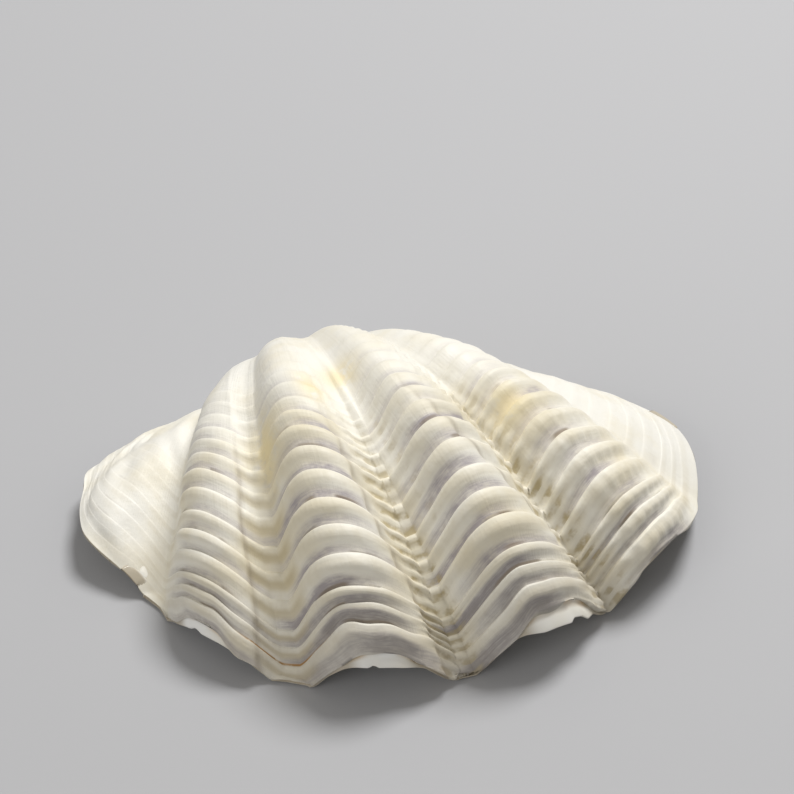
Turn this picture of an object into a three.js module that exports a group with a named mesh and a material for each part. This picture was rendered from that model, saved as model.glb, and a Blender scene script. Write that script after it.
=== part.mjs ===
// Half of a giant clam shell: one fluted valve, lying with its hollow side down.
// Millimetres, +Z up. The hinge is at the back (+Y) and the wavy free edge at the front (-Y).
//
// The valve grew the way every clam does. Its free edge is a wavy closed line, and each earlier
// growth line is a smaller copy of it, turned back about the hinge. "Growth" below runs from 0
// at the beak, where the shell began, to 1 at the free edge. "Angle" runs round the beak, from
// -90 degrees along the hinge on the left, through 0 at the front, to +90 degrees on the right.
import * as THREE from 'three';

// ---- Driving dimensions, in millimetres and degrees ----

// Reach of the free edge from the beak, before the flutes are added.
const EDGE_REACH = [
  [-90, 20], [-84, 39], [-77, 44.5], [-66, 50], [-50, 52], [-25, 63.5], [0, 70], [25, 74],
  [50, 76], [70, 60], [90, 14.5],
];
// Height of the free edge above the plane of the hinge, before the flutes are added.
const EDGE_HEIGHT = [
  [-90, 0], [-82, 5.5], [-70, 4], [-56, 2], [-40, -0.5], [0, 1.6], [45, 2.8], [90, 0],
];
// Flutes: how far each rib crest (+) and valley (-) leaves that plain edge.
const FLUTES = [
  [-77, 0], [-62, 2.8], [-46.5, -4.4], [-34, 4.9], [-21, -5.1], [-18.5, -5.3], [-10, 6.4],
  [3.5, -6.5], [5.5, -6.2], [14, 6.8], [26.5, -5.9], [34.5, 4.7], [49.5, -2.4], [63, 1.6],
  [88, 0],
];
const RIB_FULLNESS = 0.72;       // 1 gives a plain wave, less gives broad ribs, narrow valleys
const FLUTE_LEAN = 75;           // how far a flute rises rather than reaching outward
const WORN_FLUTES = 0.28;        // share of its height that a flute keeps on the worn top
const WORN_START = 0.2;
const WORN_END = 0.88;           // growth by which the flutes have their full height
const INNER_FLUTE_GROWTH = 1.6;  // how fast the flutes of the smoother inside fade to the beak
const LIP_DROOP = 0.35;          // share of its height that a crest loses at the very edge
const DROOP_START = 0.92;

const COIL_TURN = 158;           // turn of the shell about the hinge, from beak to free edge
const COIL_EASE = 0.61;
const BEAK_LEAN = -24.5;         // sideways turn of the beak
const FLANK_RISE = { left: -2.4, right: -0.5 };   // negative where a flank is hollow

const EDGE_THICKNESS = 2;
const HINGE_THICKNESS = 5;
const HINGE_TURN = 21;           // the hinge runs at this angle to the shell's long axis
const EDGE_LIFT = 3.6;           // the free edge tips up by this angle as the valve lies down
const HINGE_WEAR = 0.3;          // rubbed off the inner edge of the hinge plate, so it lies flat
const FOOT_THICKNESS = 0.8;      // of shell above the table where the free edge is worn flat

const ANGLE_STEPS = 96;
const GROWTH_STEPS = 20;

// ---- Curves ----

const radians = THREE.MathUtils.degToRad;
const easeBetween = THREE.MathUtils.smoothstep;
const lerp = THREE.MathUtils.lerp;

// Which span of a list of [angle, value] knots an angle falls in.
function spanAt(knots, angle) {
  const next = knots.findIndex(([knotAngle]) => angle <= knotAngle);
  return Math.max(next, 1) - 1;
}

// Smooth curve through the knots, with no kink at any of them.
function throughKnots(knots, angle) {
  const i = spanAt(knots, angle);
  const slopeAt = (k) => {
    const before = knots[Math.max(k - 1, 0)];
    const after = knots[Math.min(k + 1, knots.length - 1)];
    return (after[1] - before[1]) / (after[0] - before[0]);
  };
  const width = knots[i + 1][0] - knots[i][0];
  const s = (angle - knots[i][0]) / width;
  return knots[i][1] * (1 + 2 * s) * (1 - s) ** 2
    + slopeAt(i) * width * s * (1 - s) ** 2
    + knots[i + 1][1] * s * s * (3 - 2 * s)
    + slopeAt(i + 1) * width * s * s * (s - 1);
}

// Level of the flutes. Ribs are broad and round, and the valleys between them are narrow.
function fluteAt(angle) {
  if (angle <= FLUTES[0][0] || angle >= FLUTES.at(-1)[0]) return 0;
  const i = spanAt(FLUTES, angle);
  const [from, start] = FLUTES[i];
  const [to, end] = FLUTES[i + 1];
  const along = (angle - from) / (to - from);
  const fromValley = end > start ? along : 1 - along;
  const climb = (1 - Math.cos(Math.PI * fromValley ** RIB_FULLNESS)) / 2;
  return lerp(Math.min(start, end), Math.max(start, end), climb);
}

// ---- The growing edge, at full size and not yet turned back about the hinge ----

function outerFluteShare(growth) {
  return lerp(WORN_FLUTES, 1, easeBetween(growth, WORN_START, WORN_END));
}

function innerFluteShare(growth) {
  return growth ** INNER_FLUTE_GROWTH;
}

function outerEdge(angle, growth, share = outerFluteShare) {
  const level = fluteAt(angle);
  const droop = level > 0 ? LIP_DROOP * easeBetween(growth, DROOP_START, 1) : 0;
  const flute = level * (1 - droop) * share(growth);
  const reach = throughKnots(EDGE_REACH, angle) + flute * Math.cos(radians(FLUTE_LEAN));
  return new THREE.Vector3(
    reach * Math.sin(radians(angle)),
    -reach * Math.cos(radians(angle)),
    throughKnots(EDGE_HEIGHT, angle) + flute * Math.sin(radians(FLUTE_LEAN)),
  );
}

// The lip is an even width round the free edge and widens to the hinge plate at both ends.
function innerEdge(angle, growth) {
  const lip = outerEdge(angle, growth, innerFluteShare);
  const heart = new THREE.Vector3(0, -throughKnots(EDGE_REACH, 0) / 2, lip.z);
  const width = lerp(EDGE_THICKNESS, HINGE_THICKNESS, easeBetween(Math.abs(angle), 65, 90));
  lip.addScaledVector(heart.sub(lip).normalize(), width);
  lip.y += HINGE_THICKNESS;
  lip.y *= 1 - easeBetween(Math.abs(angle), 80, 90);
  return lip;
}

// ---- The two sheets ----

function flankRise(angle, growth) {
  const rise = angle < 0 ? FLANK_RISE.left : FLANK_RISE.right;
  const place = easeBetween(Math.abs(angle), 25, 58) * (1 - easeBetween(Math.abs(angle), 68, 90));
  return rise * place * 4 * growth * (1 - growth);
}

// An edge shrunk to its size at this stage of growth and turned back to where it stood.
function coiled(edge, angle, growth) {
  const left = 1 - growth ** COIL_EASE;
  const point = edge.clone();
  point.applyAxisAngle(new THREE.Vector3(1, 0, 0), radians(-COIL_TURN * left));
  point.applyAxisAngle(new THREE.Vector3(0, 0, 1), radians(BEAK_LEAN * left));
  point.multiplyScalar(growth);
  point.z += flankRise(angle, growth);
  return point;
}

// The valve as it lies on a table.
function settled(point) {
  point.applyAxisAngle(new THREE.Vector3(1, 0, 0), radians(-EDGE_LIFT));
  point.applyAxisAngle(new THREE.Vector3(0, 0, 1), radians(HINGE_TURN));
  return point;
}

function outerPoint(angle, growth) {
  const point = settled(coiled(outerEdge(angle, growth), angle, growth));
  const foot = FOOT_THICKNESS * (1 - easeBetween(Math.abs(angle), 70, 90));
  point.z = Math.max(point.z, foot);
  return point;
}

// The lining is worn flat where it touches the table.
function innerPoint(angle, growth) {
  const point = coiled(innerEdge(angle, growth), angle, growth);
  point.y -= HINGE_THICKNESS;
  settled(point);
  point.z = Math.max(point.z - HINGE_WEAR, 0);
  return point;
}

// ---- The closed solid ----

// Rows of vertex numbers, from the single point at the beak out to the free edge.
function addSheet(points, pointAt) {
  const beak = points.push(pointAt(0, 0)) - 1;
  const rows = [Array(ANGLE_STEPS + 1).fill(beak)];
  for (let g = 1; g <= GROWTH_STEPS; g += 1) {
    rows.push([]);
    for (let a = 0; a <= ANGLE_STEPS; a += 1) {
      const angle = lerp(-90, 90, a / ANGLE_STEPS);
      rows[g].push(points.push(pointAt(angle, g / GROWTH_STEPS)) - 1);
    }
  }
  return rows;
}

function addStrip(faces, lower, upper) {
  for (let a = 0; a < lower.length - 1; a += 1) {
    const corners = [lower[a], lower[a + 1], upper[a + 1], upper[a]];
    if (corners[0] !== corners[1]) faces.push(corners[0], corners[1], corners[2]);
    if (corners[2] !== corners[3]) faces.push(corners[0], corners[2], corners[3]);
  }
}

// The outline of a sheet: along the hinge to the beak, on along the hinge, and round the edge.
function outline(rows) {
  const leftHinge = rows.map((row) => row[0]).reverse();
  const rightHinge = rows.map((row) => row.at(-1)).slice(1);
  const freeEdge = rows.at(-1).slice(0, -1).reverse();
  return [...leftHinge, ...rightHinge, ...freeEdge];
}

function valveGeometry() {
  const points = [];
  const faces = [];
  const outer = addSheet(points, outerPoint);
  const inner = addSheet(points, innerPoint);
  for (let g = 0; g < GROWTH_STEPS; g += 1) {
    addStrip(faces, outer[g + 1], outer[g]);
    addStrip(faces, inner[g], inner[g + 1]);
  }
  addStrip(faces, outline(outer), outline(inner));
  const geometry = new THREE.BufferGeometry().setFromPoints(points);
  geometry.setIndex(faces);
  return standOnTable(geometry);
}

// Puts the origin under the middle of the valve.
function standOnTable(geometry) {
  geometry.computeBoundingBox();
  const middle = geometry.boundingBox.getCenter(new THREE.Vector3());
  return geometry.translate(-middle.x, -middle.y, -geometry.boundingBox.min.z);
}

function makeValve() {
  const shell = new THREE.MeshStandardMaterial({ color: 0xe9e4d4, roughness: 0.55, metalness: 0 });
  const valve = new THREE.Mesh(valveGeometry(), shell);
  valve.name = 'valve';
  return valve;
}

const clamShell = new THREE.Group();
clamShell.add(makeValve());

export default clamShell;
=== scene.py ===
import math

import bpy
import numpy as np
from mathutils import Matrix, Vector


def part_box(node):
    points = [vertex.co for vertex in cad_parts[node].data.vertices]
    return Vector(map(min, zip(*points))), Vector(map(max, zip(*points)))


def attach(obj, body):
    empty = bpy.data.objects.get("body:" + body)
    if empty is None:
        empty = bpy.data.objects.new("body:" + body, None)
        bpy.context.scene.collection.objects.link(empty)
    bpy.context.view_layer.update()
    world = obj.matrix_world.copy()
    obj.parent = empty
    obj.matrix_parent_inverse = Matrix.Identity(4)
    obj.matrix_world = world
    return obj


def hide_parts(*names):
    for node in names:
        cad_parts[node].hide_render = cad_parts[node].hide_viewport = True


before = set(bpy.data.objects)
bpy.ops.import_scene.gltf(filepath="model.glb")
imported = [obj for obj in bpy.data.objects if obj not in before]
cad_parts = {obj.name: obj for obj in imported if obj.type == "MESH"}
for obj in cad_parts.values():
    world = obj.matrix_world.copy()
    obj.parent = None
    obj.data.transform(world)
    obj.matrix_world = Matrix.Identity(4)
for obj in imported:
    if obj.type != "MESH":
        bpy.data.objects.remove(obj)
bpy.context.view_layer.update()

# ======== The valve: how it grew ========
# One half of a giant clam, a single piece of shell. It grew at its wavy free edge, and each
# earlier growth line is a smaller copy of that edge, turned back about the hinge. Growth runs
# from 0 at the beak to 1 at the free edge, and angle runs round the beak from hinge to hinge.
MM = 0.001
EDGE_REACH = [
    (-90, 20), (-84, 39), (-77, 44.5), (-66, 50), (-50, 52), (-25, 63.5), (0, 70), (25, 74),
    (50, 76), (70, 60), (90, 14.5),
]
EDGE_HEIGHT = [
    (-90, 0), (-82, 5.5), (-70, 4), (-56, 2), (-40, -0.5), (0, 1.6), (45, 2.8), (90, 0),
]
FLUTES = [
    (-77, 0), (-62, 2.8), (-46.5, -4.4), (-34, 4.9), (-21, -5.1), (-18.5, -5.3), (-10, 6.4),
    (3.5, -6.5), (5.5, -6.2), (14, 6.8), (26.5, -5.9), (34.5, 4.7), (49.5, -2.4), (63, 1.6),
    (88, 0),
]
RIB_FULLNESS = 0.72
FLUTE_LEAN = math.radians(75)
WORN_FLUTES = 0.28
WORN_START = 0.2
WORN_END = 0.88
INNER_FLUTE_GROWTH = 1.6
LIP_DROOP = 0.35
DROOP_START = 0.92
COIL_TURN = math.radians(158)
COIL_EASE = 0.61
BEAK_LEAN = math.radians(-24.5)
LEFT_FLANK_RISE = -2.4
RIGHT_FLANK_RISE = -0.5
EDGE_THICKNESS = 2
HINGE_THICKNESS = 5
HINGE_TURN = math.radians(21)
EDGE_LIFT = math.radians(3.6)
HINGE_WEAR = 0.3
FOOT_THICKNESS = 0.8


def ease(x, start, end):
    s = np.clip((x - start) / (end - start), 0, 1)
    return s * s * (3 - 2 * s)


def span_of(at, angle):
    return np.clip(np.searchsorted(at, angle) - 1, 0, len(at) - 2)


def through_knots(knots, angle):
    at, value = np.array(knots, float).T
    slope = np.array([
        (value[min(k + 1, len(at) - 1)] - value[max(k - 1, 0)])
        / (at[min(k + 1, len(at) - 1)] - at[max(k - 1, 0)])
        for k in range(len(at))
    ])
    i = span_of(at, angle)
    width = at[i + 1] - at[i]
    s = (angle - at[i]) / width
    return (
        value[i] * (1 + 2 * s) * (1 - s) ** 2
        + slope[i] * width * s * (1 - s) ** 2
        + value[i + 1] * s * s * (3 - 2 * s)
        + slope[i + 1] * width * s * s * (s - 1)
    )


def flute_at(angle):
    at, level = np.array(FLUTES, float).T
    i = span_of(at, angle)
    start, end = level[i], level[i + 1]
    along = np.clip((angle - at[i]) / (at[i + 1] - at[i]), 0, 1)
    from_valley = np.where(end > start, along, 1 - along)
    climb = (1 - np.cos(math.pi * from_valley**RIB_FULLNESS)) / 2
    return np.minimum(start, end) + abs(end - start) * climb


def outer_flute_share(growth):
    return WORN_FLUTES + (1 - WORN_FLUTES) * ease(growth, WORN_START, WORN_END)


def inner_flute_share(growth):
    return growth**INNER_FLUTE_GROWTH


def growing_edge(angle, growth, share):
    level = flute_at(angle)
    droop = np.where(level > 0, LIP_DROOP * ease(growth, DROOP_START, 1), 0)
    flute = level * (1 - droop) * share(growth)
    reach = through_knots(EDGE_REACH, angle) + flute * math.cos(FLUTE_LEAN)
    height = through_knots(EDGE_HEIGHT, angle) + flute * math.sin(FLUTE_LEAN)
    turn = np.radians(angle)
    return np.stack([reach * np.sin(turn), -reach * np.cos(turn), height], -1)


def inner_lip(angle, growth):
    lip = growing_edge(angle, growth, inner_flute_share)
    half_reach = through_knots(EDGE_REACH, np.array(0.0)) / 2
    heart = lip * [0, 0, 1] - [0, half_reach, 0]
    inward = heart - lip
    inward /= np.linalg.norm(inward, axis=-1, keepdims=True)
    to_hinge = ease(abs(angle), 65, 90)
    lip += inward * (EDGE_THICKNESS + (HINGE_THICKNESS - EDGE_THICKNESS) * to_hinge)[..., None]
    lip[..., 1] += HINGE_THICKNESS
    lip[..., 1] *= 1 - ease(abs(angle), 80, 90)
    return lip


def turned(points, axis, angle):
    a, b = [(1, 2), (2, 0), (0, 1)][axis]
    cos, sin = np.cos(angle), np.sin(angle)
    out = points.copy()
    out[..., a] = points[..., a] * cos - points[..., b] * sin
    out[..., b] = points[..., a] * sin + points[..., b] * cos
    return out


def coiled(edge, angle, growth):
    left = 1 - growth**COIL_EASE
    point = turned(turned(edge, 0, -COIL_TURN * left), 2, BEAK_LEAN * left)
    point = point * growth[..., None]
    rise = np.where(angle < 0, LEFT_FLANK_RISE, RIGHT_FLANK_RISE)
    place = ease(abs(angle), 25, 58) * (1 - ease(abs(angle), 68, 90))
    point[..., 2] += rise * place * 4 * growth * (1 - growth)
    return point


def settled(point):
    return turned(turned(point, 0, -EDGE_LIFT), 2, HINGE_TURN)


def outside(angle, growth):
    point = settled(coiled(growing_edge(angle, growth, outer_flute_share), angle, growth))
    foot = FOOT_THICKNESS * (1 - ease(abs(angle), 70, 90))
    point[..., 2] = np.maximum(point[..., 2], foot)
    return point


def inside(angle, growth):
    point = coiled(inner_lip(angle, growth), angle, growth)
    point[..., 1] -= HINGE_THICKNESS
    point = settled(point)
    point[..., 2] = np.maximum(point[..., 2] - HINGE_WEAR, 0)
    return point


# ======== The valve: scales, riblets and lips on its surfaces ========
# The outside carries overlapping growth scales: a crisp pale edge, a rounded band, then a
# shallow recess before the next edge. Small riblets run down the valleys, three ribs end in a
# ledge on their right, and the porcelain of the inside shows as a chipped lip at the front.
SCALE_STARTS = [
    0.0, 0.30, 0.345, 0.39, 0.435, 0.475, 0.515, 0.55, 0.585, 0.62, 0.65, 0.682, 0.719,
    0.757, 0.80, 0.836, 0.873, 0.914, 0.938, 0.962, 1.0,
]
LAST_SCALE = len(SCALE_STARTS) - 1
SMOOTH_SCALES = 10
SMOOTH_PHASES = [0, 0.05, 0.15, 0.35, 0.6, 0.82, 0.95]
SHARP_PHASES = [0, 0.03, 0.08, 0.17, 0.28, 0.40, 0.52, 0.64, 0.75, 0.86, 0.975]
ARC_PER_GROWTH = 115  # millimetres of outer surface for a growth of 1, near the free edge
SCALE_STEEPNESS = 0.34  # height of a scale as a share of its length
OVERHANG = 0.35
FINE_BUMPS = 0.10
FLANK_BUMPS = 0.16
FLANK_LUMPS = 0.28
FIN_HEIGHT = 0.10  # small ridges down the scales of the last rib
FIN_SPACING = 1.7
DEEPEST_DENT = 0.2  # the outer layer is thin, so nothing sinks deeper
VALLEY_FILL = 1.0  # rounds the bottom of the middle valley
RIBS = [  # crest angle, reach of the recess to its left and right, depth of its colour; the wider left reach is painted shade on the crest's shaded left
    (-33, 9, 8, 0.85), (-9, 10, 7, 1.0), (15, 8, 5, 1.0), (36, 7, 3, 0.8),
]
LEDGES = [(-25.2, -25.2, 0.6), (-2.0, 0.5, 0.8), (18.5, 25.8, 0.8)]
LEDGE_FROM = 0.8  # growth at which a ledge has its first angle; the second is at the edge
RIBLETS = [  # angle, half-width in degrees, height, and 1 where it is beaded
    (-22, 0.9, 0.15, 0), (0.2, 0.8, 0.3, 1), (2.6, 1.0, 0.4, 1), (8.0, 1.2, 0.4, 0),
    (22.2, 0.7, 0.35, 1), (24.6, 0.7, 0.5, 1), (27.0, 0.8, 0.6, 1), (29.6, 0.8, 0.6, 1),
    (32, 0.6, 0.2, 1),
]
LIPS = [  # first and last angle, and growth short of which the outer layer and the lip end
    (-39, -30, -0.017, -0.002), (-11.5, -3.5, -0.010, 0.005), (12, 22, -0.013, 0.012),
]
STAINS = [(5, 0.535, 4, 0.03), (-4, 0.59, 3, 0.03), (31.5, 0.71, 3, 0.03), (-17, 0.66, 3, 0.06)]
BROWN_MARKS = [(50.5, 0.90, 1.6, 0.006), (26.5, 0.73, 0.5, 0.006)]
LIP_SINK = 0.35  # step down from the outer layer to the porcelain
CHIP_DEPTH = 0.006
SCAR_DEPTH = 0.5
LINE_HEIGHT = 0.25  # of the faint line that runs round the lining
RIM_ROWS = 7
INNER_ROWS = 30
COLUMNS = np.concatenate([
    np.linspace(-90, -74, 17)[:-1], np.linspace(-74, 74, 369), np.linspace(74, 90, 17)[1:],
])


def uneven(x, y, seed, waves=9):
    """Smooth random ups and downs, about -1 to 1, with features a few units across."""
    draw = np.random.default_rng(seed)
    total = 0
    for _ in range(waves):
        heading, phase = draw.uniform(0, 2 * math.pi, 2)
        pace = draw.uniform(0.5, 1.6)
        total = total + np.sin(pace * (x * math.cos(heading) + y * math.sin(heading)) + phase)
    return total / math.sqrt(waves)


def hump(x, middle, half_width):
    return np.exp(-(((x - middle) / half_width) ** 2))


def window(x, start, end, soft):
    return ease(x, start - soft, start + soft) * (1 - ease(x, end - soft, end + soft))


def scale_rows():
    rows = list(np.linspace(0, 1, 20)[:-1])
    for k in range(1, LAST_SCALE):
        phases = SMOOTH_PHASES if k < SMOOTH_SCALES else SHARP_PHASES
        rows += [k + phase for phase in phases]
    return np.array(rows + [float(LAST_SCALE)])


def outer_end(angle):
    """How far the outer layer reaches: it stops short of the porcelain lip on each rib."""
    return 1 + sum(stop * window(angle, start, end, 2) for start, end, stop, _ in LIPS)


def growth_of(scale, angle):
    """Growth at a place in the run of scales, with the natural waver of the growth lines."""
    plain = np.interp(scale, np.arange(len(SCALE_STARTS)), SCALE_STARTS)
    waver = 0.0035 * uneven(angle / 9, scale / 1.5, 3) + 0.0012 * uneven(angle / 3, scale, 4)
    late = ease(scale, LAST_SCALE - 3, LAST_SCALE - 1)
    fray = (0.002 + 0.004 * hump(angle, -9, 7)) * uneven(angle / 1.3, scale, 5) * late
    growth = plain + (waver + fray) * ease(plain, 0.3, 0.6) * (1 - ease(plain, 0.975, 1))
    return growth * (1 + (outer_end(angle) - 1) * ease(plain, 0.9, 1))


def ledge_at(angle, growth):
    """How close each place is to the top of a ledge, and to the crevice at its foot, which gets
    painted shade.
    """
    top = crevice = 0
    for start, end, height in LEDGES:
        foot = start + (end - start) * (np.maximum(growth, 0.65) - LEDGE_FROM) / (1 - LEDGE_FROM)
        foot = foot + 0.3 * uneven(growth * 40, start + growth * 0, 12)
        rise = ease(angle, foot - 7, foot - 0.5)
        top = top + height * rise * (1 - ease(angle, foot - 0.4, foot + 0.5))
        crevice = crevice + hump(angle, foot + 0.5, 0.45)
    shown = ease(growth, 0.55, 0.78)
    return top * shown, crevice * shown


def riblet_at(scale, angle, growth):
    """Height of the riblets, which swing left towards the beak and fade there."""
    swing = -20 * (1 - growth) ** 2
    total = 0
    for middle, half_width, height, beaded in RIBLETS:
        wander = 0.3 * uneven(scale / 3, scale * 0 + middle, 7)
        beads = 1 - beaded * (0.38 - 0.38 * np.cos(4 * math.pi * scale - 1.0))
        total = total + height * hump(angle, middle + swing + wander, half_width) * beads
    return total * ease(growth, 0.25, 0.6)


def scale_relief(scale, angle, growth):
    phase = scale % 1
    crest = 0.5 + 0.5 * np.clip(flute_at(angle) / 3.5, -1, 1)
    length = ARC_PER_GROWTH * np.interp(scale, np.arange(LAST_SCALE) + 0.5, np.diff(SCALE_STARTS))
    patchy = 0.9 + 0.22 * uneven(angle / 7, np.floor(scale) * 2.1, 6)
    flank = (1 - 0.90 * ease(angle, 37, 50)) * (1 - 0.96 * ease(-angle, 36, 47))
    smooth_rib = hump(angle, -35, 10) * (0.30 + 0.6 * (1 - ease(growth, 0.66, 0.88)))
    flank = flank * (1 - smooth_rib) * (1 - 0.5 * hump(angle, 4, 4))
    ledge_top, _ = ledge_at(angle, growth)
    height = SCALE_STEEPNESS * np.minimum(length, 4.0) * ease(growth, 0.36, 0.84)
    height = height * patchy * flank * (1 - 0.8 * np.minimum(ledge_top, 1))
    rise = ease(phase, 0, 0.035 + 0.1 * (1 - ease(growth, 0.6, 0.85)))
    band = rise * (0.72 + 0.28 * ease(phase, 0.03, 0.25)) * (1 - ease(phase, 0.3, 0.80))
    step = ease(phase, -0.02, 0.12) * (1 - ease(phase, 0.2, 0.6)) * 0.45
    fine = 0.17 * hump((scale * 2) % 1, 0.3, 0.22) * window(angle, -1, 31, 3)
    fine = fine * (1 + hump(angle, 4, 4)) * (1 - crest) * ease(growth, 0.5, 0.75)
    return height * (band * crest + step * (1 - crest)) + fine


def blot(angle, growth, places):
    """Soft round spots, each given by its angle, growth, width in degrees and length."""
    return sum(
        hump(angle, middle, width) * hump(growth, at, length)
        for middle, at, width, length in places
    )


def grey_and_shade_in_recess(scale, angle, growth):
    """Grey-violet behind each scale's edge: own tint plus painted shade, strongest on a crest's
    shaded left.
    """
    phase = scale % 1
    band = np.floor(scale)
    late = ease(scale, LAST_SCALE - 3.0, LAST_SCALE - 2.2)
    late = late * (hump(angle, -8, 9) + 0.7 * hump(angle, 11, 6))
    start = 0.66 - 0.42 * late + 0.07 * uneven(angle / 2.0, band * 3.7, 13)
    across = 0
    for middle, left, right, depth in RIBS:
        shifted = angle + 2.5 * uneven(band * 5.1, middle, 14)
        across = across + depth * window(shifted, middle - left, middle + right, 3)
    blotch = np.clip(1.0 + 0.35 * uneven(angle / 2.6, band * 2.9, 15), 0.35, 1.25)
    per_rib = uneven(band * 7.3, np.floor((angle + 21) / 24) * 5, 16)
    strength = np.clip(0.95 + 0.3 * per_rib, 0.45, 1.2) + 0.5 * late
    hollow = ease(phase, start - 0.12, start + 0.12) * (1 - ease(phase, 0.97, 1.0))
    return hollow * across * blotch * strength * ease(growth, 0.4, 0.72)


def normals_of(grid):
    along = np.gradient(grid, axis=0)
    across = np.gradient(grid, axis=1)
    normal = np.cross(along, across)
    length = np.linalg.norm(normal, axis=-1, keepdims=True)
    return normal / np.maximum(length, 1e-9)


def outer_sheet():
    scale, angle = np.meshgrid(scale_rows(), COLUMNS, indexing="ij")
    growth = growth_of(scale, angle)
    ragged = 0.0035 * uneven(COLUMNS / 1.2, COLUMNS * 0, 8) * ease(52 - abs(COLUMNS), 0, 12)
    growth[-1] += ragged
    relief = scale_relief(scale, angle, growth)
    lean_back = OVERHANG * relief * hump(scale % 1, 0.05, 0.05) * ease(growth, 0.5, 0.8)
    grid = outside(angle, growth - lean_back / ARC_PER_GROWTH)
    ledge_top, _ = ledge_at(angle, growth)
    relief = relief + riblet_at(scale, angle, growth) + ledge_top
    relief += VALLEY_FILL * hump(angle, 4.4, 3.0) * ease(growth, 0.5, 0.8)
    relief += FINE_BUMPS * uneven(angle / 2.5, scale * 1.3, 9) * ease(growth, 0.1, 0.3)
    relief += FLANK_BUMPS * uneven(angle / 1.6, scale * 2.3, 17) * ease(abs(angle - 2), 44, 60)
    lumps = FLANK_LUMPS * (1 + uneven(angle / 4.0, scale / 1.8, 18)) * ease(-angle, 44, 56)
    relief += np.maximum(lumps, 0) * window(growth, 0.5, 0.93, 0.06)
    fins = window(angle, 31, 47, 1.5) * ease(growth, 0.66, 0.8) * window(scale % 1, 0.1, 0.7, 0.1)
    relief += FIN_HEIGHT * np.cos(2 * math.pi * angle / FIN_SPACING) * fins
    relief = np.maximum(relief, -DEEPEST_DENT) * ease(90 - abs(angle), 0, 8)
    grid = grid + normals_of(grid) * relief[..., None]
    return grid, scale, angle, growth


def lip_share(angle):
    """1 where the porcelain shows as a lip at the free edge, 0 where the outer layer hides it."""
    return sum(window(angle, first, last, 1.2) for first, last, _, _ in LIPS)


def lip_rows():
    """The step down to the porcelain, the lip itself and its rounded rim."""
    chips = 0.0016 + 0.0010 * ease(abs(COLUMNS), 38, 55)
    chips = chips * uneven(COLUMNS / 1.8, COLUMNS * 0, 10)
    bites = CHIP_DEPTH * ease(uneven(COLUMNS / 1.1, COLUMNS * 0, 11), 0.9, 1.5)
    chips -= bites * lip_share(COLUMNS)
    end = 1.0005 + sum(stop * window(COLUMNS, first, last, 2) for first, last, _, stop in LIPS)
    end = end + chips * ease(80 - abs(COLUMNS), 0, 12)
    start = outer_end(COLUMNS) - 0.002
    top = np.stack([outside(COLUMNS, start + (end - start) * s) for s in (0, 0.5, 1)])
    sink = normals_of(top) * (LIP_SINK * ease(90 - abs(COLUMNS), 0, 12))[None, :, None]
    top = top - sink
    inner_end = inside(COLUMNS, end)
    across = inner_end - top[-1]
    forward = top[-1] - top[1]
    forward /= np.maximum(np.linalg.norm(forward, axis=-1, keepdims=True), 1e-9)
    swell = np.linalg.norm(across, axis=-1, keepdims=True) * 0.32
    swell = swell * ease(90 - abs(COLUMNS), 0, 12)[:, None]
    rim = [
        top[-1] + across * (1 - math.cos(math.pi * s)) / 2 + forward * swell * math.sin(math.pi * s)
        for s in np.linspace(0, 1, RIM_ROWS)[1:-1]
    ]
    return np.concatenate([top, np.stack(rim)]), end


def inner_sheet(end):
    share = np.linspace(1, 0, INNER_ROWS) ** 0.9
    growth = share[:, None] * end[None, :]
    angle = np.broadcast_to(COLUMNS, growth.shape)
    grid = inside(angle, growth)
    lined = LINE_HEIGHT * hump(growth, 0.78, 0.02) * ease(70 - abs(angle), 0, 10)
    scar = SCAR_DEPTH * ease(1 - np.hypot((angle - 14) / 17, (growth - 0.52) / 0.11), 0, 0.25)
    push = (lined - scar) * ease(90 - abs(angle), 0, 12) * ease(growth, 0.1, 0.2)
    return grid + normals_of(grid) * push[..., None], angle, growth


def sheet_faces(rows):
    """Quads between the rows of a sheet, with triangles where a row is a single point."""
    faces = []
    for near, far in zip(rows, rows[1:]):
        for a in range(len(near) - 1):
            ring = dict.fromkeys([near[a], far[a], far[a + 1], near[a + 1]])
            faces.append(tuple(int(v) for v in ring))
    return faces


def zipped(left, left_growth, right, right_growth):
    """Triangles that close the gap between two lines of points which both start at the beak."""
    faces = []
    i = j = 0
    while i < len(left) - 1 or j < len(right) - 1:
        on_left = j == len(right) - 1 or (
            i < len(left) - 1 and left_growth[i + 1] <= right_growth[j + 1]
        )
        if on_left:
            faces.append((int(left[i]), int(left[i + 1]), int(right[j])))
            i += 1
        else:
            faces.append((int(left[i]), int(right[j + 1]), int(right[j])))
            j += 1
    return faces


# Painted shade in the crevice at the foot of each ledge, plus the brown marks.
def crevice_at(angle, growth):
    return ledge_at(angle, growth)[1] + 0.8 * blot(angle, growth, BROWN_MARKS)


PLAIN_COLUMNS = 97  # a plain valve of this many points, used to place the fine one
PLAIN_ROWS = 21
CREST_LEVEL = 5  # height of a flute that counts as a full crest


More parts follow.
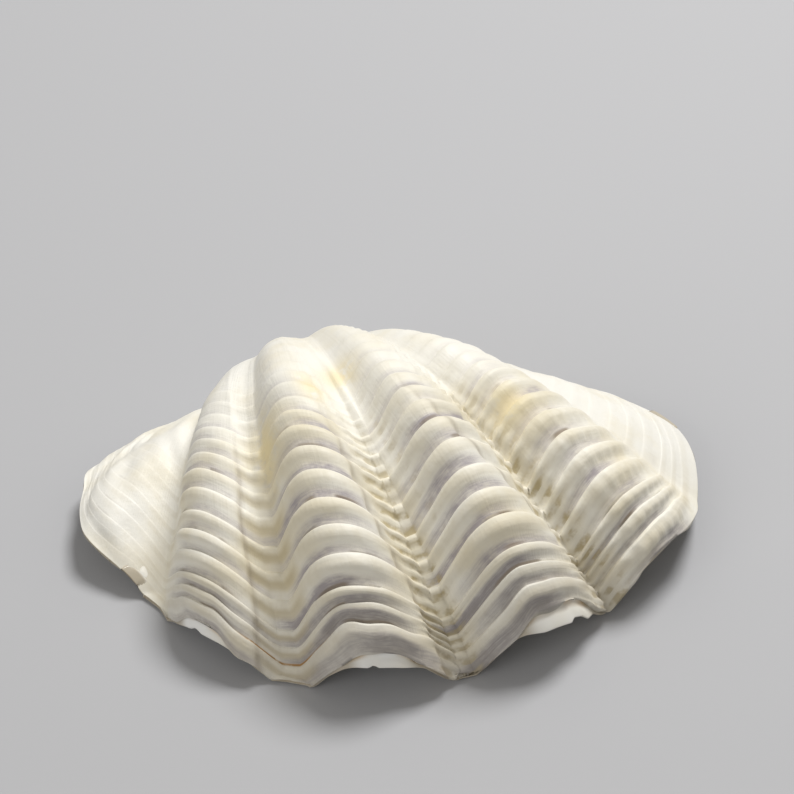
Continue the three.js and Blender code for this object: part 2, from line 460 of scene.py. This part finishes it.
def build_valve():
    outer, scale, angle, growth = outer_sheet()
    lip, end = lip_rows()
    inner, inner_angle, inner_growth = inner_sheet(end)
    columns = len(COLUMNS)
    sheets = [outer, lip, inner]
    points = np.concatenate([sheet.reshape(-1, 3) for sheet in sheets])
    rows = np.arange(len(points)).reshape(-1, columns)
    rows[0] = rows[0, 0]
    rows[-1] = rows[-1, 0]
    outer_rows, lip_count = len(outer), len(lip)
    scales = sheet_faces(rows[:outer_rows])
    porcelain = sheet_faces(rows[outer_rows - 1:])
    side_growth = np.concatenate([growth[:, 0], np.full(lip_count, 1.001)])
    inner_line = rows[outer_rows + lip_count:][::-1]
    for column, flip in ((0, 1), (-1, -1)):
        strip = zipped(
            rows[:outer_rows + lip_count, column], side_growth,
            inner_line[:, column], np.append(inner_growth[::-1, column][:-1], 1.002),
        )
        porcelain += [face[::flip] for face in strip]

    plain_angle = np.linspace(-90, 90, PLAIN_COLUMNS)
    plain_growth = np.linspace(0, 1, PLAIN_ROWS)
    plain = outside(*np.meshgrid(plain_angle, plain_growth))
    box_low, box_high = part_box("valve")
    middle = (plain.reshape(-1, 3).min(0) + plain.reshape(-1, 3).max(0)) / 2
    points -= [middle[0], middle[1], 0]
    points[:, 2] = np.maximum(points[:, 2], 0)
    points *= MM
    points += [(box_low[0] + box_high[0]) / 2, (box_low[1] + box_high[1]) / 2, box_low[2]]

    mesh = bpy.data.meshes.new("valve_shell")
    mesh.from_pydata(points.tolist(), [], scales + porcelain)
    mesh.polygons.foreach_set("material_index", [0] * len(scales) + [1] * len(porcelain))
    mesh.polygons.foreach_set("use_smooth", [True] * len(mesh.polygons))
    lip_depth = np.repeat(np.linspace(0, 1, lip_count), columns)
    no_lip, no_inside = np.zeros(lip_count * columns), np.zeros(inner_growth.size)
    fields = {
        "riblet": [riblet_at(scale, angle, growth), no_lip, no_inside],
        "porcelain": [scale * 0, lip_share(np.tile(COLUMNS, lip_count)), no_inside + 1],
        "crevice": [crevice_at(angle, growth), no_lip, no_inside],
        "stain": [blot(angle, growth, STAINS), no_lip, no_inside],
        "recess_tint_and_shade": [grey_and_shade_in_recess(scale, angle, growth), no_lip, no_inside],
        "scale": [scale, no_lip + LAST_SCALE, no_inside + LAST_SCALE],
        "angle": [angle, np.tile(COLUMNS, lip_count), inner_angle],
        "growth": [growth, np.ones(lip_count * columns), inner_growth],
        "depth": [np.zeros(scale.size), lip_depth, 2 - inner_growth],
    }
    for name, parts in fields.items():
        values = np.concatenate([np.ravel(part) for part in parts])
        mesh.attributes.new(name, "FLOAT", "POINT").data.foreach_set("value", values)
    crest = flute_at(np.concatenate([np.ravel(part) for part in fields["angle"]])) / CREST_LEVEL
    mesh.attributes.new("crest", "FLOAT", "POINT").data.foreach_set("value", crest)
    lay_out(mesh, rows)
    mesh.validate()
    return mesh


def lay_out(mesh, rows):
    """A flat layout of the grid for the bake: angle across, and the rows one after another."""
    columns = len(COLUMNS)
    across = (np.tile(COLUMNS, len(rows)) + 90) / 180
    up = np.repeat(np.linspace(0, 0.97, len(rows)), columns)
    corner = np.empty(len(mesh.loops), int)
    mesh.loops.foreach_get("vertex_index", corner)
    layer = mesh.uv_layers.new(name="OFBake")
    layer.data.foreach_set("uv", np.stack([across[corner], up[corner]], -1).ravel())


# ---- Finish of the outside ----

class Wire:
    """A node's output, so that the maths of a finish reads as plain sums."""

    def __init__(self, tree, socket):
        self.tree, self.socket = tree, socket

    def node(self, kind, settings, inputs, output=0):
        made = self.tree.nodes.new(kind)
        for name, value in settings.items():
            setattr(made, name, value)
        for name, value in inputs.items():
            if isinstance(value, Wire):
                self.tree.links.new(value.socket, made.inputs[name])
            else:
                made.inputs[name].default_value = value
        return Wire(self.tree, made.outputs[output])

    def maths(self, operation, *values):
        return self.node("ShaderNodeMath", {"operation": operation}, dict(enumerate(values)))

    def __add__(self, other):
        return self.maths("ADD", self, other)

    __radd__ = __add__

    def __sub__(self, other):
        return self.maths("SUBTRACT", self, other)

    def __rsub__(self, other):
        return self.maths("SUBTRACT", other, self)

    def __mul__(self, other):
        return self.maths("MULTIPLY", self, other)

    __rmul__ = __mul__

    def fraction(self):
        return self.maths("FRACT", self)

    def at_most(self, limit):
        return self.maths("MINIMUM", self, limit)

    def between(self, start, end):
        """0 before start, 1 after end, and a smooth rise from one to the other."""
        return self.node(
            "ShaderNodeMapRange", {"interpolation_type": "SMOOTHSTEP"},
            {"Value": self, "From Min": start, "From Max": end},
        )

    def field(self, name):
        return self.node("ShaderNodeAttribute", {"attribute_name": name}, {}, "Fac")

    def noise(self, place, size, detail=2.0, rough=0.5):
        return self.node(
            "ShaderNodeTexNoise", {},
            {"Vector": place, "Scale": size, "Detail": detail, "Roughness": rough},
        )

    def across(self, x, y):
        return self.node("ShaderNodeCombineXYZ", {}, {"X": x, "Y": y})

    def blend(self, below, above):
        """This mask lays one colour over another."""
        return self.node(
            "ShaderNodeMix", {"data_type": "RGBA", "clamp_factor": True},
            {0: self, 6: below, 7: above}, 2,
        )


def new_finish(name):
    material = bpy.data.materials.new(name)
    material.use_nodes = True
    tree = material.node_tree
    shader = tree.nodes["Principled BSDF"]
    return material, Wire(tree, None), shader


def feed(wire, shader, name):
    wire.tree.links.new(wire.socket, shader.inputs[name])


IVORY = (0.82, 0.79, 0.70, 1)
CREAM = (0.74, 0.68, 0.53, 1)
TAN = (0.58, 0.51, 0.36, 1)
PALE_EDGE = (0.88, 0.85, 0.76, 1)
RECESS_VIOLET_AND_SHADE = (0.37, 0.335, 0.345, 1)
DEEP_GREY = (0.22, 0.20, 0.20, 1)
CREVICE_SHADE_BROWN = (0.16, 0.11, 0.06, 1)
PIT_OLIVE_AND_SHADOW = (0.42, 0.33, 0.15, 1)
STAIN_YELLOW = (0.80, 0.68, 0.40, 1)
WORN_WHITE = (0.81, 0.79, 0.73, 1)
FRONT_SHADE_GREY = (0.46, 0.42, 0.36, 1)
CRACK_AMBER = (0.36, 0.19, 0.05, 1)


def scaly_outside():
    """Chalky bands of ivory and cream, with grey-violet recesses and tan in the pits; painted shade
    darkens recesses, crevices, one valley and the front.
    """
    material, start, shader = new_finish("scaly_outside")
    scale, angle = start.field("scale"), start.field("angle")
    growth, crest = start.field("growth"), start.field("crest")
    riblet, recess_tint_and_shade = start.field("riblet"), start.field("recess_tint_and_shade")
    body = start.node("ShaderNodeTexCoord", {}, {}, "Object")
    phase = scale.fraction()
    valley = 1 - crest.between(-0.7, 0.3)
    grown = growth.between(0.5, 0.82)
    cloud = start.noise(body, 90, 3)
    fleck = start.noise(body, 700, 3, 0.6)
    streak = start.noise(start.across(angle * 0.7, scale * 0.8), 1.0, 3, 0.6)
    mottle = start.noise(body, 330, 3, 0.6)

    colour = cloud.between(0.35, 0.68).blend(IVORY, CREAM)
    band = phase.between(0.05, 0.16) * (1 - phase.between(0.35, 0.62))
    tan = band * grown * (0.35 + streak.between(0.3, 0.75) * 0.3)
    colour = (tan * 0.7).blend(colour, TAN)
    strand = start.noise(start.across(angle * 0.5, scale * 16), 1.0, 3, 0.6)
    hollow = recess_tint_and_shade * (0.45 + strand.between(0.35, 0.65) * 0.35 + mottle.between(0.35, 0.65) * 0.3)
    # The shell's own grey-violet in the recesses, with painted shade; near the free edge the
    # recesses turn a deeper grey.
    colour = (hollow * 0.9).blend(colour, RECESS_VIOLET_AND_SHADE)
    deep = hollow * growth.between(0.88, 0.96)
    colour = (deep * 0.75).blend(colour, DEEP_GREY)
    # Painted shadow below each rim in the valley left of the middle rib, mixed with the pits' own
    # olive colour.
    shadow = valley * phase.between(0.2, 0.45) * (1 - phase.between(0.55, 0.8))
    shadow = shadow * angle.between(-28, -24) * (1 - angle.between(-12, -2))
    half = (scale * 2).fraction()
    pits = angle.between(-2, 1) * (1 - angle.between(30, 33)) * (1 - riblet.between(0.08, 0.3))
    pits = pits * half.between(0.4, 0.6) * mottle.between(0.4, 0.6) * valley
    pits_and_shadow = (shadow * 0.5 + pits * 0.75) * grown
    colour = pits_and_shadow.blend(colour, PIT_OLIVE_AND_SHADOW)
    lit_edge = phase.between(0.02, 0.05) * (1 - phase.between(0.09, 0.2))
    colour = (lit_edge * grown * streak.between(0.3, 0.7) * 0.25).blend(colour, PALE_EDGE)
    part = start.noise(start.across(angle * 0.11, (scale - phase) * 3.7), 1.0, 2)
    # Painted shade: a thin dark line in the hollow under each scale's overhanging edge, plus the
    # ledge crevice shade and brown marks.
    crease_shade_and_marks = phase.between(0.80, 0.90) * (1 - scale.between(19.3, 19.6)) * part.between(0.5, 0.58)
    crease_shade_and_marks = crease_shade_and_marks * grown * crest.between(0.2, 0.9) + start.field("crevice") * mottle * 0.9
    colour = (crease_shade_and_marks * 0.75).blend(colour, CREVICE_SHADE_BROWN)
    flank_from = angle - growth.between(0.78, 1.0) * 9
    # Painted shade: the front band near the free edge, turned away from the key light, is darkened
    # grey.
    front_shade = growth.between(0.86, 1.0) * angle.between(-48, -38) * (1 - angle.between(24, 34))
    colour = (front_shade * (0.25 + mottle.between(0.3, 0.7) * 0.2)).blend(colour, FRONT_SHADE_GREY)
    worn = (1 - growth.between(0.42, 0.74)) * 0.8
    worn = worn + flank_from.between(36, 52) * 0.9 + (1 - angle.between(-58, -40)) * 0.8
    worn = (worn * (0.75 + mottle.between(0.35, 0.65) * 0.4)).at_most(0.92)
    chalk = (cloud.between(0.42, 0.72) * 0.4).blend(WORN_WHITE, CREAM)
    colour = worn.blend(colour, chalk)
    stain = start.noise(body, 45, 2).between(0.56, 0.74) * (1 - growth.between(0.6, 0.85)) * 0.5
    stain = (stain + start.field("stain")) * mottle.between(0.3, 0.5)
    colour = (stain * 0.8).blend(colour, STAIN_YELLOW)
    tongue = angle.between(-29, -25) * (1 - angle.between(-15, -12))
    rust = tongue * scale.between(18.88, 18.98) * (1 - scale.between(19.0, 19.07))
    rust = rust * mottle.between(0.3, 0.5)
    colour = rust.blend(colour, CRACK_AMBER)
    feed(colour, shader, "Base Color")

    feed(0.46 + cloud * 0.2 + hollow * 0.1 - worn * 0.06, shader, "Roughness")
    ribs = start.noise(start.across(angle * 2.2, scale * 0.25), 1.0, 3, 0.6)
    lines = start.noise(start.across(angle * 0.12, scale * 7), 1.0, 3, 0.6)
    lines = lines * angle.between(-54, -40) * (1 - angle.between(40, 54))
    height = lines * 0.3 + ribs * 0.3 + fleck * 0.35 + mottle * 0.3
    bump = start.node("ShaderNodeBump", {}, {"Strength": 0.5, "Distance": 0.0005, "Height": height})
    feed(bump, shader, "Normal")
    return material


AMBER = (0.52, 0.33, 0.12, 1)
EDGE_BROWN = (0.40, 0.34, 0.24, 1)
PORCELAIN = (0.86, 0.85, 0.81, 1)
INNER_CREAM = (0.76, 0.70, 0.55, 1)


def porcelain_inside():
    """Glossy white lining, amber where it comes out from under the last scale."""
    material, start, shader = new_finish("porcelain_inside")
    depth = start.field("depth")
    body = start.node("ShaderNodeTexCoord", {}, {}, "Object")
    cloud = start.noise(body, 60, 3)
    colour = cloud.between(0.4, 0.75).blend(PORCELAIN, INNER_CREAM)
    amber = (1 - depth.between(0.02, 0.16)) * start.noise(body, 140, 2).between(0.35, 0.6)
    colour = (amber * 0.85).blend(colour, AMBER)
    buried = (1 - start.field("porcelain")) * (1 - depth.between(0.7, 1.0))
    colour = (buried * 0.85).blend(colour, EDGE_BROWN)
    feed(colour, shader, "Base Color")
    feed(0.22 + cloud * 0.16, shader, "Roughness")
    shader.inputs["Coat Weight"].default_value = 0.25
    waves = start.noise(body, 260, 3)
    bump = start.node("ShaderNodeBump", {}, {"Strength": 0.25, "Distance": 0.0004, "Height": waves})
    feed(bump, shader, "Normal")
    return material


valve = bpy.data.objects.new("valve_shell", build_valve())
bpy.context.collection.objects.link(valve)
valve.data.materials.append(scaly_outside())
valve.data.materials.append(porcelain_inside())
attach(valve, "root")
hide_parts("valve")

# ======== Floor ========
# A plain pale sheet with a soft matt face, far wider than the shell.
FLOOR_SIZE = 6.0
PAPER_GREY = (0.42, 0.42, 0.43, 1)
FLOOR_DROP = -0.0001  # just below the flats that the valve rests on
floor_mesh = bpy.data.meshes.new("floor")
half = FLOOR_SIZE / 2
floor_mesh.from_pydata(
    [(x, y, FLOOR_DROP) for x, y in ((-half, -half), (half, -half), (half, half), (-half, half))],
    [], [(0, 1, 2, 3)],
)
floor = bpy.data.objects.new("floor", floor_mesh)
bpy.context.collection.objects.link(floor)
floor_paint = bpy.data.materials.new("floor_paper")
floor_paint.use_nodes = True
paper = floor_paint.node_tree.nodes["Principled BSDF"]
paper.inputs["Base Color"].default_value = PAPER_GREY
paper.inputs["Roughness"].default_value = 0.8
floor_mesh.materials.append(floor_paint)

# ======== Light ========
# A large soft light high on the right and behind, a weak one at the front left, and a dim room.
ROOM_WHITE = (1.0, 0.98, 0.94, 1)
ROOM_STRENGTH = 0.36


def soft_light(name, place, width, power):
    lamp = bpy.data.lights.new(name, "AREA")
    lamp.shape = "DISK"
    lamp.size = width
    lamp.energy = power
    holder = bpy.data.objects.new(name, lamp)
    holder.location = place
    holder.rotation_mode = "QUATERNION"
    holder.rotation_quaternion = (-Vector(place)).to_track_quat("-Z", "Y")
    bpy.context.collection.objects.link(holder)


soft_light("key_light", (0.25, 0.40, 0.80), 0.36, 7.9)
soft_light("fill_light", (-0.6, -0.6, 0.5), 0.6, 2.0)
room = bpy.data.worlds.new("room")
bpy.context.scene.world = room
room.use_nodes = True
room.node_tree.nodes["Background"].inputs["Color"].default_value = ROOM_WHITE
room.node_tree.nodes["Background"].inputs["Strength"].default_value = ROOM_STRENGTH
bpy.context.scene.view_settings.view_transform = "Standard"

# ======== Camera ========
# Looks down on the free edge from the front, with the shell a little below the middle.
ELEVATION = math.radians(45)
DISTANCE = 0.3657
LENS = 95.8
SENSOR_WIDTH = 36
AIM_ABOVE = 0.0167
AIM_RIGHT = 0.0009
TARGET = Vector((0, 0, 0.010))
camera = bpy.data.objects.new("camera", bpy.data.cameras.new("camera"))
bpy.context.collection.objects.link(camera)
back = Vector((0, -math.cos(ELEVATION), math.sin(ELEVATION)))
up = Vector((0, math.sin(ELEVATION), math.cos(ELEVATION)))
camera.location = TARGET + back * DISTANCE
aim = TARGET + up * AIM_ABOVE + Vector((AIM_RIGHT, 0, 0)) - camera.location
camera.rotation_mode = "QUATERNION"
camera.rotation_quaternion = aim.to_track_quat("-Z", "Y")
camera.data.lens = LENS
camera.data.sensor_width = SENSOR_WIDTH
bpy.context.scene.camera = camera
